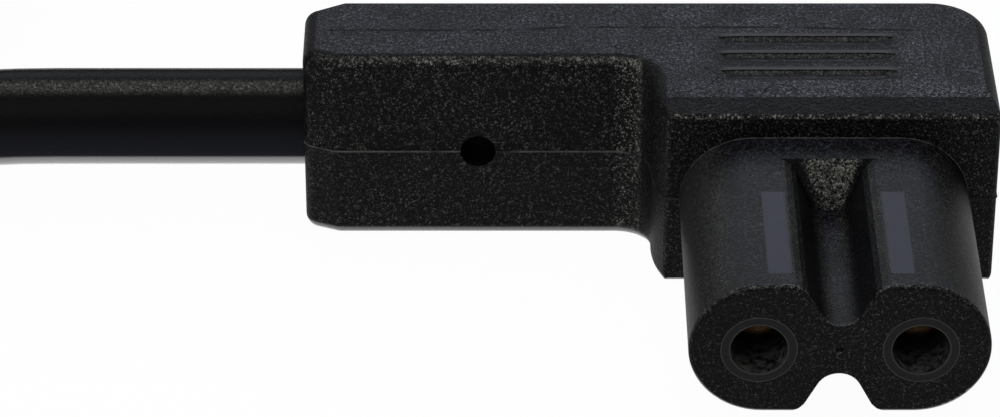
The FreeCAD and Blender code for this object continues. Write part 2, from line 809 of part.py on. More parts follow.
# Plug: flat tapered body with its ribbed relief, drawn with its front face on its own YZ plane.
PLUG = ("-sizes.plug_front_along", "sizes.plug_across", "sizes.plug_height / 2")
plug = new_body("plug_shell", *PLUG)
plug_plan = new_sketch(plug, "plug_plan", "XY_Plane")
outline(
    plug_plan,
    [
        ("0", "-sizes.plug_width / 2"),
        ("0", "sizes.plug_width / 2"),
        ("-sizes.plug_straight", "sizes.plug_width / 2"),
        ("-sizes.plug_length", "sizes.tail_width / 2"),
        ("-sizes.plug_length", "-sizes.tail_width / 2"),
        ("-sizes.plug_straight", "-sizes.plug_width / 2"),
    ],
)
plug_block = plug.newObject("PartDesign::Pad", "plug_block")
plug_block.Profile = plug_plan
plug_block.SideType = "Symmetric"
plug_block.setExpression("Length", "sizes.plug_height")
plug_slope = new_sketch(plug, "plug_slope", "XZ_Plane")
for sign in ("", "-"):
    outline(
        plug_slope,
        [
            ("0", sign + "sizes.plug_height / 2"),
            ("-sizes.plug_length", sign + "sizes.tail_height / 2"),
            ("-sizes.plug_length", sign + "(sizes.plug_height / 2 + 1)"),
            ("0", sign + "(sizes.plug_height / 2 + 1)"),
        ],
    )
plug_taper = plug.newObject("PartDesign::Pocket", "plug_taper")
plug_taper.Profile = plug_slope
plug_taper.Type = "Length"
plug_taper.SideType = "Symmetric"
plug_taper.setExpression("Length", "2 * sizes.plug_width")


def at_shoulder(edge):
    """Choose the upright edges where the plug's straight sides start to taper."""
    return all(abs(v.X + plug_straight) < 0.001 for v in edge.Vertexes)


def along_plug(edge):
    """Choose the edges that run along the plug, on neither of its end faces."""
    ends = [v.X for v in edge.Vertexes]
    upright = abs(edge.Vertexes[0].Z - edge.Vertexes[-1].Z) > 1.5
    return abs(ends[0] - ends[-1]) > 0.5 and not upright


plug_sides = fillet(plug, "plug_sides", plug_taper, at_shoulder, "sizes.plug_shoulder")
plug_bevels = plug.newObject("PartDesign::Chamfer", "plug_bevels")
plug_bevels.Base = (plug_sides, edge_names(plug_sides.Shape, along_plug))
plug_bevels.setExpression("Size", "sizes.plug_chamfer")
doc.recompute()
plug_smooth = fillet(plug, "plug_smooth", plug_bevels, along_plug, "sizes.plug_round")
BODY_END = "-sizes.plug_length"
RELIEF_END = "-sizes.plug_length - sizes.relief_length"
turned(
    plug,
    "relief_cone",
    [
        (BODY_END + " + 1", "0"),
        (BODY_END + " + 1", "sizes.relief_root / 2"),
        (BODY_END, "sizes.relief_root / 2"),
        (RELIEF_END, "sizes.relief_tip / 2"),
        (RELIEF_END, "0"),
    ],
    "X_Axis",
)
slot_section = new_sketch(plug, "relief_slot_section", "XY_Plane")
SLOT = BODY_END + " - sizes.relief_slot_pitch"
outline(
    slot_section,
    [
        (SLOT, "sizes.relief_tip / 2 - sizes.relief_slot_depth"),
        (SLOT + " - sizes.relief_slot", "sizes.relief_tip / 2 - sizes.relief_slot_depth"),
        (SLOT + " - sizes.relief_slot", "sizes.relief_root / 2 + 1"),
        (SLOT, "sizes.relief_root / 2 + 1"),
    ],
)
relief_ring = plug.newObject("PartDesign::Groove", "relief_ring")
relief_ring.Profile = slot_section
relief_ring.ReferenceAxis = (role_plane(plug, "X_Axis"), [""])
relief_ring.Angle = 360
doc.recompute()
relief_rings = plug.newObject("PartDesign::LinearPattern", "relief_rings")
relief_rings.Originals = [relief_ring]
relief_rings.Direction = (role_plane(plug, "X_Axis"), [""])
relief_rings.Reversed = True
relief_rings.setExpression("Length", "sizes.relief_slot_pitch * (sizes.relief_slots - 1)")
relief_rings.setExpression("Occurrences", "sizes.relief_slots")
plug.Tip = relief_rings
doc.recompute()

plug_core_bits = []
copper_bits = []
prongs = {}
for name, sign, colour in (("live", "-", "brown"), ("neutral", "", "blue")):
    place = (PLUG[0], PLUG[1] + (" - " if sign else " + ") + "sizes.prong_pitch / 2", PLUG[2])
    prong = new_body("plug_pin_" + name, *place)
    CUP_END = "-sizes.plug_bridge_depth - sizes.cup_length"
    turned(
        prong,
        "prong_turn_" + name,
        [
            ("sizes.prong_length", "0"),
            ("sizes.prong_length", "sizes.prong_diameter / 2 - sizes.prong_tip"),
            ("sizes.prong_length - sizes.prong_tip", "sizes.prong_diameter / 2"),
            ("sizes.sleeve_length", "sizes.prong_diameter / 2"),
            ("sizes.sleeve_length", "sizes.prong_neck / 2"),
            (CUP_END, "sizes.prong_neck / 2"),
            (CUP_END, "sizes.copper_diameter / 2"),
            (CUP_END + " + sizes.cup_depth", "sizes.copper_diameter / 2"),
            (CUP_END + " + sizes.cup_depth", "0"),
        ],
        "X_Axis",
    )
    prongs[name] = prong
    sleeve = new_body("pin_sleeve_" + name, *place)
    turned(
        sleeve,
        "sleeve_turn_" + name,
        [
            ("0", "sizes.prong_neck / 2"),
            ("0", "sizes.sleeve_diameter / 2"),
            ("sizes.sleeve_length", "sizes.sleeve_diameter / 2"),
            ("sizes.sleeve_length", "sizes.prong_neck / 2"),
        ],
        "X_Axis",
    )
    out = -1 if sign else 1
    front = -plug_front_along
    cup_end = front - plug_bridge_depth - cup_length
    prong_y = plug_across + out * prong_pitch / 2
    bend_one = Vector(front - core_straight, prong_y, plug_mid)
    bend_two = Vector(front - core_gather, plug_across + out * core_spread, plug_mid)
    sheath_face = Vector(plug_sheath_end, plug_across + out * core_spread, plug_mid)
    way = [bend_one, bend_two, sheath_face]
    bends = [plug_core_bend, plug_core_bend]
    copper_from = Vector(cup_end + cup_depth, prong_y, plug_mid)
    core_from = Vector(cup_end - core_start, prong_y, plug_mid)
    copper = feature("plug_conductor_" + colour, tube_shape([copper_from] + way, copper_diameter / 2, bends))
    filled = feature("plug_core_filled_" + colour, tube_shape([core_from] + way, core_diameter / 2, bends))
    cut("plug_core_" + colour, filled, copper)
    plug_core_bits.append(filled)
    copper_bits.append(copper)

bridge_block = box(
    "plug_bridge_block",
    PLUG[0] + " - sizes.plug_bridge_depth",
    PLUG[1] + " - sizes.plug_bridge_width / 2",
    PLUG[2] + " - sizes.plug_bridge_height / 2",
    "sizes.plug_bridge_depth",
    "sizes.plug_bridge_width",
    "sizes.plug_bridge_height",
)


def carve(name, base, tools):
    """Cut each tool in turn and give the last result the name."""
    for i, tool in enumerate(tools):
        last = i == len(tools) - 1
        base = cut(name if last else "%s_step_%d" % (name, i + 1), base, tool)
    return base


carve("plug_bridge", bridge_block, [prongs["live"], prongs["neutral"]])
carve(
    "plug_body",
    plug,
    [bridge_block, prongs["live"], prongs["neutral"], tail_run] + plug_core_bits + copper_bits,
)
mark = rod(
    "locating_mark",
    "-sizes.mark_along",
    "sizes.arm_front - 1",
    MID,
    "sizes.mark_diameter / 2",
    "sizes.mark_depth + 1",
    ALONG_Y,
)
gate = rod(
    "gate_mark",
    "0",
    NOSE_TIP + " - 1",
    MID,
    "sizes.gate_diameter / 2",
    "sizes.gate_depth + 1",
    ALONG_Y,
)
carve(
    "connector_overmould",
    overmould,
    [
        lead_end,
        filled_brown,
        filled_blue,
        copper_brown,
        copper_blue,
        contacts["left"],
        contacts["right"],
        carrier_outer,
        waist_tool,
        lower_waist,
        mark,
        gate,
    ],
)
doc.recompute()

NODES = (
    "connector_overmould contact_carrier socket_contact_left socket_contact_right "
    "core_insulation_brown core_insulation_blue conductor_brown conductor_blue "
    "lead_cable lead_coil coil_tie lead_tail "
    "plug_body plug_bridge plug_pin_live plug_pin_neutral pin_sleeve_live pin_sleeve_neutral "
    "plug_core_brown plug_core_blue plug_conductor_brown plug_conductor_blue"
).split()

for item in doc.Objects:
    if "Invalid" in item.State or "Error" in item.State:
        raise RuntimeError("%s: %s" % (item.Name, item.getStatusString()))

os.makedirs("parts", exist_ok=True)
for name in NODES:
    shape = doc.getObject(name).Shape
    if shape.isNull() or not shape.isValid() or len(shape.Solids) != 1:
        raise RuntimeError("%s is not one sound solid: %d" % (name, len(shape.Solids)))
    shape.exportStep("parts/%s.step" % name)
    span = shape.BoundBox
    print(
        "%-24s %9.2f mm3  X %.2f %.2f  Y %.2f %.2f  Z %.2f %.2f"
        % (name, shape.Volume, span.XMin, span.XMax, span.YMin, span.YMax, span.ZMin, span.ZMax)
    )
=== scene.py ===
# %% [markdown]
# # A figure eight power connector on its lead
#
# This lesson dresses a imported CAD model: a right-angled mains connector, moulded in black PVC,
# whose stored lead lies beside it as a tied coil and ends in a flat plug.
# The CAD solids give every rigid shape. Blender adds what a solid can't hold: the lead as one
# smooth curve, the grain of the mould, the seam where the mould halves met, metal and light.

# %% Load the frame
import bmesh
import bpy
import json
import math
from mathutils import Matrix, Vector


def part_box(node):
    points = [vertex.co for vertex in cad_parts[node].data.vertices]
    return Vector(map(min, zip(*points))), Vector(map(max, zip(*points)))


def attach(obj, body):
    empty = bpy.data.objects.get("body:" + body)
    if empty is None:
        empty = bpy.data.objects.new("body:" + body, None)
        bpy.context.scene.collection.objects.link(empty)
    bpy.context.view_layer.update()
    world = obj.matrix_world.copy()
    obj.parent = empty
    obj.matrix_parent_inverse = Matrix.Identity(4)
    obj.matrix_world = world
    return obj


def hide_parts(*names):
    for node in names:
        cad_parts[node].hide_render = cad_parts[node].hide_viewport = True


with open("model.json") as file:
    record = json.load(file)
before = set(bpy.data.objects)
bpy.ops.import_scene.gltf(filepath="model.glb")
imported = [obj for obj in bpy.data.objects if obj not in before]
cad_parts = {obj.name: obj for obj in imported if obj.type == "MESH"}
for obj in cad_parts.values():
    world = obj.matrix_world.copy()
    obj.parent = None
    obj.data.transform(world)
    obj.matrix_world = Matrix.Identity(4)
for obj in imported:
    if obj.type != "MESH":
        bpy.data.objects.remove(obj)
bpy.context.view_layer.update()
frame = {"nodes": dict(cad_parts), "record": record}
node = frame["nodes"]
MM = 0.001
print("frame loaded:", len(node), "solids")

# %% [markdown]
# ## Camera
#
# The photograph was taken from a little above, straight at the nose, with a long lens.
# A camera could be placed by eye, but the size of the nose and the spacing of its holes are known,
# so it was fitted to those: it looks down by 32.3 degrees from about a quarter of a metre.

# %% Camera
CAMERA_PLACE = (-18.028, -228.783, 144.192)
CAMERA_TILT = 32.294
CAMERA_LENS = 167.83
SENSOR_WIDTH = 36.0

camera_data = bpy.data.cameras.new("camera")
camera_data.sensor_width = SENSOR_WIDTH
camera_data.lens = CAMERA_LENS
camera_data.clip_start = 0.01
camera_data.clip_end = 10.0
camera = bpy.data.objects.new("camera", camera_data)
camera.location = Vector(CAMERA_PLACE) * MM
camera.rotation_euler = (math.radians(90 - CAMERA_TILT), 0, 0)
bpy.context.scene.collection.objects.link(camera)
bpy.context.scene.camera = camera
print("camera", [round(v, 4) for v in camera.location])

# %% [markdown]
# ## Shader maths
#
# Materials here are made of small sums. They could be drawn node by node, which is long and hard
# to read. A class that overloads the operators lets a sum of sockets be written as a sum, and
# one method adds any node: it sets the node's options, fills its sockets and hands back an output.


# %% Sums of sockets
class Sum:
    """A socket of a node tree that can be added, multiplied and fed to other nodes."""

    def __init__(self, tree, socket=None):
        self.tree = tree
        self.socket = socket

    def into(self, place, value):
        """Link a Sum to a socket, or write a plain value on it."""
        if isinstance(value, Sum):
            self.tree.links.new(value.socket, place)
        else:
            place.default_value = value

    def node(self, kind, settings, values, gives=0):
        """Add a node, set its options, fill its sockets and return one of its outputs."""
        made = self.tree.nodes.new(kind)
        for key, value in settings.items():
            setattr(made, key, value)
        for key, value in values.items():
            self.into(made.inputs[key], value)
        return Sum(self.tree, made.outputs[gives])

    def output(self, gives):
        """Another output of the same node."""
        return Sum(self.tree, self.socket.node.outputs[gives])

    def math(self, operation, first, second):
        """A Math node; the operators below are made of these."""
        return self.node("ShaderNodeMath", {"operation": operation}, {0: first, 1: second})

    def __add__(self, other):
        return self.math("ADD", self, other)

    def __radd__(self, other):
        return self.math("ADD", other, self)

    def __sub__(self, other):
        return self.math("SUBTRACT", self, other)

    def __rsub__(self, other):
        return self.math("SUBTRACT", other, self)

    def __mul__(self, other):
        return self.math("MULTIPLY", self, other)

    def __rmul__(self, other):
        return self.math("MULTIPLY", other, self)

    def __pow__(self, other):
        return self.math("POWER", self, other)

    def __rpow__(self, other):
        return self.math("POWER", other, self)

    def __neg__(self):
        return 0.0 - self

    def __abs__(self):
        return self.most(-self)

    def most(self, other):
        """The larger of two values."""
        return self.math("MAXIMUM", self, other)

    def ramp(self, low, high):
        """A smooth step from 0 at low to 1 at high."""
        settings = {"interpolation_type": "SMOOTHSTEP"}
        return self.node("ShaderNodeMapRange", settings, {"Value": self, "From Min": low, "From Max": high})

    def near(self, middle, half, soft):
        """1 within half of the middle, fading to 0 over soft."""
        return 1 - abs(self - middle).ramp(half, half + soft)


print("sums of sockets ready")

# %% [markdown]
# ### Helpers for materials
#
# Every material of the connector and its lead starts in the same way: a principled shader, its
# constants, and the place and facing of each point on the piece. Object coordinates are in metres,
# and because every piece stays at the origin they are also the places of the CAD model.

# %% Helpers for materials
# The colour sockets of a Mix node come after those for numbers and vectors.
MIX_FACTOR, MIX_FIRST, MIX_SECOND, MIX_COLOUR = 0, 6, 7, 2


def new_material(name, **constants):
    """A principled material; returns it, its shader and the object coordinates."""
    material = bpy.data.materials.new(name)
    material.use_nodes = True
    shader = material.node_tree.nodes["Principled BSDF"]
    for key, value in constants.items():
        shader.inputs[key.replace("_", " ")].default_value = value
    return material, shader, Sum(material.node_tree).node("ShaderNodeTexCoord", {}, {}, "Object")


def split(vector):
    """The three parts of a vector."""
    first = vector.node("ShaderNodeSeparateXYZ", {}, {0: vector})
    return [first.output(i) for i in range(3)]


def position(place):
    """Where a point is along X, Y and Z, in millimetres."""
    return [part * (1 / MM) for part in split(place)]


def direction(place):
    """How far a point's surface faces to the right, to the back and up."""
    return split(place.output("Normal"))


def noise(place, scale, detail=2.0, roughness=0.5, distortion=0.0):
    """Soft random values about a half; the scale is in patches to the metre."""
    shape = {"Detail": detail, "Roughness": roughness, "Distortion": distortion}
    return place.node("ShaderNodeTexNoise", {}, {"Vector": place, "Scale": scale, **shape}, "Fac")


def blend(factor, first, second):
    """Mix two colours by a factor."""
    first, second = [c if isinstance(c, Sum) else (*c, 1.0) for c in (first, second)]
    sockets = {MIX_FACTOR: factor, MIX_FIRST: first, MIX_SECOND: second}
    return factor.node("ShaderNodeMix", {"data_type": "RGBA"}, sockets, MIX_COLOUR)


def feed(shader, **sums):
    """Link sums to the shader's sockets of those names."""
    for key, value in sums.items():
        value.into(shader.inputs[key.replace("_", " ")], value)


def emboss(shader, height, strength, depth):
    """Turn a height into a bump on the shader's normal; the depth is in millimetres."""
    values = {"Height": height, "Strength": strength, "Distance": depth * MM}
    feed(shader, Normal=height.node("ShaderNodeBump", {}, values))


print("material helpers ready")

# %% [markdown]
# ## Floor and light
#
# The background is pure white. A floor lit until it clips would also wash out the object, so the
# lamps stay plain and the floor shows white to the camera through the Light Path node, mixed with
# a little of its real shading so that the shadow stays. Glossy rays see the same white, which is
# what puts the pale edge under the lead.

# %% Floor
FLOOR_REACH = 3.0
FLOOR_COLOUR = (0.8, 0.8, 0.8, 1.0)
FLOOR_WHITENESS = 0.97


def ray_is(tree, *kinds):
    """1 for light rays of these kinds and 0 for all others."""
    first = Sum(tree).node("ShaderNodeLightPath", {}, {}, kinds[0])
    found = first
    for kind in kinds[1:]:
        found = found.most(first.output(kind))
    return found


corners = [(x, y, 0) for x, y in ((-1, -1), (1, -1), (1, 1), (-1, 1))]
floor_mesh = bpy.data.meshes.new("floor")
floor_mesh.from_pydata([Vector(corner) * FLOOR_REACH for corner in corners], [], [(0, 1, 2, 3)])
floor = bpy.data.objects.new("floor", floor_mesh)
bpy.context.scene.collection.objects.link(floor)

floor_paint = bpy.data.materials.new("floor_paint")
floor_paint.use_nodes = True
tree = floor_paint.node_tree
tree.nodes.remove(tree.nodes["Principled BSDF"])
seen = ray_is(tree, "Is Camera Ray", "Is Transmission Ray", "Is Glossy Ray") * FLOOR_WHITENESS
matte = seen.node("ShaderNodeBsdfDiffuse", {}, {"Color": FLOOR_COLOUR})
glow = seen.node("ShaderNodeEmission", {}, {})
mixed = seen.node("ShaderNodeMixShader", {}, {0: seen, 1: matte, 2: glow})
feed(tree.nodes["Material Output"], Surface=mixed)
floor_mesh.materials.append(floor_paint)
print("floor", 2 * FLOOR_REACH, "m square")

# %% [markdown]
# ### Sky and lamps
#
# Black plastic shows little but what it reflects. One small lamp would leave it a hole in the
# picture, so large soft lamps stand round it: a cool one behind that lies as a sheen on the tops,
# a plain one overhead, a key from the front left, and weak ones at both sides.

# %% Sky and lamps
SKY_LIGHT = 0.2
GRIP_MIDDLE = (-0.01, 0, 0)
HEAD_MIDDLE = (0, 0, 0)
WHITE = (1.0, 1.0, 1.0)
COOL = (0.90, 0.94, 1.0)
WARM = (1.0, 0.95, 0.88)

world = bpy.data.worlds.new("studio")
bpy.context.scene.world = world
world.use_nodes = True
backdrop = world.node_tree.nodes["Background"]
backdrop.inputs["Color"].default_value = (*WHITE, 1.0)
seen = ray_is(world.node_tree, "Is Camera Ray", "Is Transmission Ray")
feed(backdrop, Strength=seen * (1 - SKY_LIGHT) + SKY_LIGHT)


def softbox(name, place, aim, size, power, colour=WHITE):
    """A rectangular lamp at a place, turned towards its aim; metres and watts."""
    lamp = bpy.data.lights.new(name, "AREA")
    lamp.shape = "RECTANGLE"
    lamp.size, lamp.size_y = size
    lamp.energy = power
    lamp.color = colour
    holder = bpy.data.objects.new(name, lamp)
    holder.location = place
    holder.rotation_euler = (Vector(aim) - Vector(place)).to_track_quat("-Z", "Y").to_euler()
    bpy.context.scene.collection.objects.link(holder)
    print("lamp", name, power, "W")


softbox("overhead", place=(-0.02, -0.02, 0.52), aim=GRIP_MIDDLE, size=(0.5, 0.36), power=0.9)
softbox("behind", place=(-0.06, 0.62, 0.42), aim=GRIP_MIDDLE, size=(1.0, 0.40), power=3.4, colour=COOL)
softbox("key", place=(-0.16, -0.36, 0.42), aim=HEAD_MIDDLE, size=(0.4, 0.4), power=1.2)
softbox("right", place=(0.5, -0.15, 0.25), aim=HEAD_MIDDLE, size=(0.25, 0.25), power=0.15, colour=WARM)
softbox("left", place=(-0.45, 0.05, 0.30), aim=HEAD_MIDDLE, size=(0.25, 0.25), power=0.35)
bpy.context.scene.view_settings.view_transform = "Standard"

# %% [markdown]
# ## The lead
#
# The photograph shows only the first stretch of the lead. The rest of its metre is put away: it
# comes down to the table, winds into a coil two turns wide and three high, and leaves for the plug.
# A chain of tubes would show kinks, so the lead is one NURBS curve with a round bevel.
# Its turns go inside first, climb, then come down outside, and step over the lead's own start.

# %% Route of the lead
LEAD_DIAMETER = 5.5
# The lead's axis where it leaves the grip, and the plug's.
EXIT_Y, EXIT_Z = -0.05, 5.9
PLUG_Y, PLUG_Z = 41.0, 6.85
COIL_X = -82.5
COIL_Y = 24.7
INNER_TURN = 24.75
LOWEST_TURN = 3.35
TURN_POINTS = 24
# Spans of the winding, in turns from its start, over which the lead climbs, drops or steps outward.
CLIMBS = ((0.62, 0.94), (1.62, 1.94))
DROPS = ((3.62, 3.94), (4.93, 5.13))
OUTWARD = (2.62, 2.94)
# The lead leaves the coil after five and a half turns and thirty degrees.
LEAVE = 5.0 + 0.5 + 30 / 360


def step(turn, start, end):
    """0 before start, 1 after end, eased between."""
    t = min(max((turn - start) / (end - start), 0.0), 1.0)
    return t * t * (3 - 2 * t)


def coil_point(turn):
    """A point of the winding after this many turns, clockwise from the front."""
    up = sum(step(turn, *span) for span in CLIMBS)
    down = sum(step(turn, *span) for span in DROPS)
    radius = INNER_TURN + step(turn, *OUTWARD) * LEAD_DIAMETER
    # The spline runs a little inside its control points, so they stand out by that much.
    radius = radius / math.cos(math.pi / TURN_POINTS)
    height = LOWEST_TURN + (up - down) * LEAD_DIAMETER
    angle = 2 * math.pi * turn
    return (COIL_X - radius * math.sin(angle), COIL_Y - radius * math.cos(angle), height)


route = [(x, EXIT_Y, EXIT_Z) for x in (-23.0, -37.0, -50.0)] + [(-66.0, EXIT_Y, 3.5)]
route += [coil_point(i / TURN_POINTS) for i in range(1, int(LEAVE * TURN_POINTS) + 1)]
route += [coil_point(LEAVE), (-50.3, PLUG_Y, 6.5), (-45.0, PLUG_Y, PLUG_Z), (-37.5, PLUG_Y, PLUG_Z)]
print("route:", len(route), "control points")

# %% Lead
lead_curve = bpy.data.curves.new("lead", "CURVE")
lead_curve.dimensions = "3D"
line = lead_curve.splines.new("NURBS")
line.points.add(len(route) - 1)
for point, place in zip(line.points, route):
    point.co = (*(Vector(place) * MM), 1.0)
    point.radius = LEAD_DIAMETER / 2 * MM
line.order_u = 3
line.use_endpoint_u = True
line.resolution_u = 6
# The points carry the lead's radius, which the bevel multiplies.
lead_curve.bevel_depth = 1.0
lead_curve.bevel_resolution = 10
lead_curve.use_fill_caps = True
lead = bpy.data.objects.new("lead", lead_curve)
bpy.context.scene.collection.objects.link(lead)
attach(lead, "root")
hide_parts("lead_cable", "lead_coil", "lead_tail")
print("lead:", LEAD_DIAMETER, "mm across")

# %% [markdown]
# ## Moulded PVC
#
# The mould of the grip was spark-eroded, so its skin is a field of fine pits about a tenth of a
# millimetre wide. One noise would look like sand. Two are mixed, worms of a fifth of a millimetre
# and grit of a tenth, and the same pair drives colour, roughness and bump.

# %% Grain of the mould
# A scale of 5000 patches to the metre is five to the millimetre.
WORM_SCALE = 5000
GRIT_SCALE = 11000
GRIT_SHARE = 0.62


def mould_grain(place):
    """The coarse and the fine grain of a spark-eroded mould, and the two together."""
    worms = noise(place, WORM_SCALE, roughness=0.55, distortion=0.5)
    grit = noise(place, GRIT_SCALE, roughness=0.6, distortion=0.6)
    return worms, grit, grit * GRIT_SHARE + worms * (1 - GRIT_SHARE)


def broad_grains(grain):
    """The upper half of the grain."""
    return grain.ramp(0.40, 0.62)


def grain_tips(grain):
    """Only the tips of the grain."""
    return grain.ramp(0.53, 0.64)


grip_paint, shader, place = new_material(
    "grip_pvc", Specular_IOR_Level=0.06, Coat_IOR=2.0, Coat_Roughness=0.2
)
x, y, z = position(place)
right, back, up = direction(place)
worms, grit, grain = mould_grain(place)
print("grain of", WORM_SCALE, "and", GRIT_SCALE, "to the metre")

# %% [markdown]
# ### Places on the grip
#
# The skin isn't the same all over. The nose has to slide into an inlet, so its mould was polished,
# all but the ramp at the closed end of its groove. Such places could be painted by hand on a UV map.
# The CAD's own sizes already say where they are, so each is a mask worked out from position and
# facing: 1 on the place, 0 off it, with a soft edge.

# %% Places on the grip
HEAD_FRONT = -9.0
NOSE_END = -24.0
PART = 5.9
GRIP_TOP = 11.8
# The middle of the finger grooves and half their length, and where each has its lip and its apron.
GROOVE_X = -0.75
GROOVE_HALF = 4.4
LIPS = (-0.95, -2.80, -4.66)
APRONS = ((-1.86, 0.10), (-3.72, 0.10), (-5.62, 0.08))
# The middle of the ramp, the point that its sides run down to, and the slant of those sides.
RAMP_Y = -11.9
RAMP_FOOT = (0.15, -12.7)
RAMP_SLANT = 0.8
# The locating mark, a blind hole in the front of the arm.
MARK_X = -19.27
MARK_RADIUS = 1.1

# A facing of 1 is straight at that side, and 0.97 is about 14 degrees off it.
front = (-back).ramp(0.6, 0.9)
left = (-right).ramp(0.5, 0.9)
top = up.ramp(0.965, 0.985)
on_nose = (HEAD_FRONT - y).ramp(0.0, 0.1)
on_head = x.ramp(-9.5, -8.0)
on_plug = y.ramp(10.0, 14.0)
wedge = 1 - (abs(x - RAMP_FOOT[0]) - (y - RAMP_FOOT[1]) * RAMP_SLANT).ramp(0.1, 0.8)
ramp_zone = y.near(RAMP_Y, 0.8, 0.25) * wedge * up.ramp(0.35, 0.5) * (-back).ramp(0.25, 0.4)
smooth = on_nose * (1 - ramp_zone)
flank = (-right).ramp(0.3, 0.8) * up.ramp(-0.3, 0.4) * (1 - x.ramp(-5.0, -3.0))
mark = x.near(MARK_X, MARK_RADIUS, 0.05) * z.near(PART, MARK_RADIUS, 0.05) * y.near(-1.9, 1.97, 0.03)

# Each finger groove has a smooth lip behind it with a painted highlight, and a grainy apron before it with
# painted shade.
beside = x.near(GROOVE_X, GROOVE_HALF, 0.9)
lip_highlights = sum(y.near(at, 0.10, 0.16) for at in LIPS) * beside * top
apron_shades = sum(y.near(at, half, 0.12) for at, half in APRONS) * beside * top
in_groove = beside * y.ramp(-6.0, -5.6) * z.near(GRIP_TOP - 0.3, 0.2, 0.05) * (1 - top)
print("places on the grip:", len(place.tree.nodes), "nodes")

# %% [markdown]
# ### Pale grains
#
# Close up, the skin is black with pale points: each pit has a rim that catches a lamp. Bump alone
# can't show it, because the lamps are large and a pixel holds several pits. So the tips of the grain
# are painted paler, most where the skin turns towards the lamps: on the upper edges, in the inner
# corner and on the ramp.

# %% Pale grains
PAINTED_GLINT_FRONT = (0.19, 0.188, 0.170)
PAINTED_GLINT_TOP = (0.155, 0.163, 0.205)
LEAST_PALE = 0.04
GRAIN_PATCHES = 380
# The way to the lamps, as its parts up and to the front.
LAMPS_UP = 0.72
LAMPS_FRONT = 0.69
INNER_CORNER = (-10.85, -4.6)
# How much of the pale grain is broad, and how much of that upright walls lose.
BROAD_SHARE = 0.32
UPRIGHT_LOSS = 0.30

lamp_side = (up * LAMPS_UP - back * LAMPS_FRONT).ramp(0.92, 0.985)
inner_corner = x.near(INNER_CORNER[0], 0.5, 0.4) * y.near(INNER_CORNER[1], 0.9, 0.4)
bevel = up.near(0.957, 0.008, 0.012) * (-back).ramp(0.2, 0.26)
between_grooves = x.near(GROOVE_X, 4.8, 0.6) * y.near(-3.4, 2.3, 0.3)
brow = y.near(-6.95, 0.75, 0.3) * on_head
end_edge = y.near(NOSE_END + 0.14, 0.1, 0.06) * up.ramp(0.0, 0.5)
end_face = (-y).ramp(-NOSE_END - 0.1, -NOSE_END - 0.03)

# How pale the grains are on each place of the rough skin, then on the smooth nose.
rough_places = (
    (lamp_side, 0.95),
    (front, 0.75),
    (left, 0.3),
    (inner_corner, 1.7),
    (ramp_zone, 1.7),
    (in_groove, 0.7),
    (bevel, 0.10),
    (top, 0.70 + on_head * 0.12 - between_grooves * 0.36 + brow * 0.22),
)
nose_places = (
    (smooth * up.ramp(0.5, 0.9), 0.2),
    (smooth * flank, 0.08),
    (end_edge, 0.4),
    (end_face, 0.4),
)
level = sum((mask * paleness for mask, paleness in rough_places), LEAST_PALE) * (1 - smooth * 0.92)
level = sum((mask * paleness for mask, paleness in nose_places), level)
# The plug has the same skin but duller, and the locating mark, a blind hole, gets no pale grains: painted
# shade.
level = level * (1 - on_plug * 0.75) * (1 - mark)

# Upright walls show only the tips of the grain; tops and the ramp show its broad backs too.
upright = front.most(left) * (1 - ramp_zone)
broad = broad_grains(grain)
tips = grain_tips(grain - upright * 0.01)
peaks = broad * (BROAD_SHARE - upright * UPRIGHT_LOSS) + tips * (1 - BROAD_SHARE)
patches = noise(place, GRAIN_PATCHES).ramp(0.25, 0.7) * 0.5 + 0.5
sparkle = peaks * level * patches.most(lamp_side * 0.9) * (1 - lip_highlights * 0.6)
# Painted glints, warm on the fronts and cool on the tops, where the cool lamp behind falls.
pale = blend(up.ramp(0.88, 0.95), PAINTED_GLINT_FRONT, PAINTED_GLINT_TOP)
print("pale grains on", len(rough_places) + len(nose_places), "places")

# %% [markdown]
# ### Colour of the grip
#
# The colours are laid over each other like coats of paint: black PVC that the grain shades, the
# pale grains, an even painted sheen on the nose's left side, painted light and shade at the finger
# grooves, and a faint mould line across the top. The undersides get a clear coat of high index, because
# there the floor shows in the skin.

# %% Colour of the grip
LINE_COLOUR = (0.0005, 0.0005, 0.0005)
SKIN_DARK = (0.0005, 0.0005, 0.0007)
SKIN_LIGHT = (0.0040, 0.0041, 0.0050)
FLANK_PAINTED_SHEEN = (0.15, 0.15, 0.148)
GROOVE_WALL_PAINTED_LIGHT = (0.13, 0.13, 0.122)
LIP_HIGHLIGHT = (0.058, 0.060, 0.066)
APRON_SHADE = (0.0005, 0.0005, 0.0006)
TONE_PATCHES = 160
LINE_BREAKS = 700

# The mould line runs behind the finger grooves and steps towards the front at both ends.
line_at = -0.12 - (1 - x.ramp(-17.5, -14.0)) * 0.34 - x.ramp(-2.5, 5.5) * 0.33
top_line = (y - line_at).near(0.0, 0.05, 0.08) * z.ramp(GRIP_TOP - 0.3, GRIP_TOP - 0.1)
top_line = top_line * x.near(-11.2, 16.3, 0.8) * noise(place, LINE_BREAKS).ramp(0.3, 0.55)

tone = noise(place, TONE_PATCHES, detail=3.0)
shade = (worms - 0.5) * 1.5 + (grit - 0.5) * 1.2 + (tone - 0.5) * 0.4 + 0.45
skin = blend(shade, SKIN_DARK, SKIN_LIGHT)
skin = blend(sparkle, skin, pale)
# Painted sheen on the nose's left side.
skin = blend(smooth * flank * (broad * 0.04 + 0.055), skin, FLANK_PAINTED_SHEEN)
# Painted light on the groove walls that face the front.
skin = blend(in_groove * front * (broad * 0.5 + 0.15), skin, GROOVE_WALL_PAINTED_LIGHT)
# Painted highlight on the lips behind the grooves.
skin = blend(lip_highlights * 0.75, skin, LIP_HIGHLIGHT)
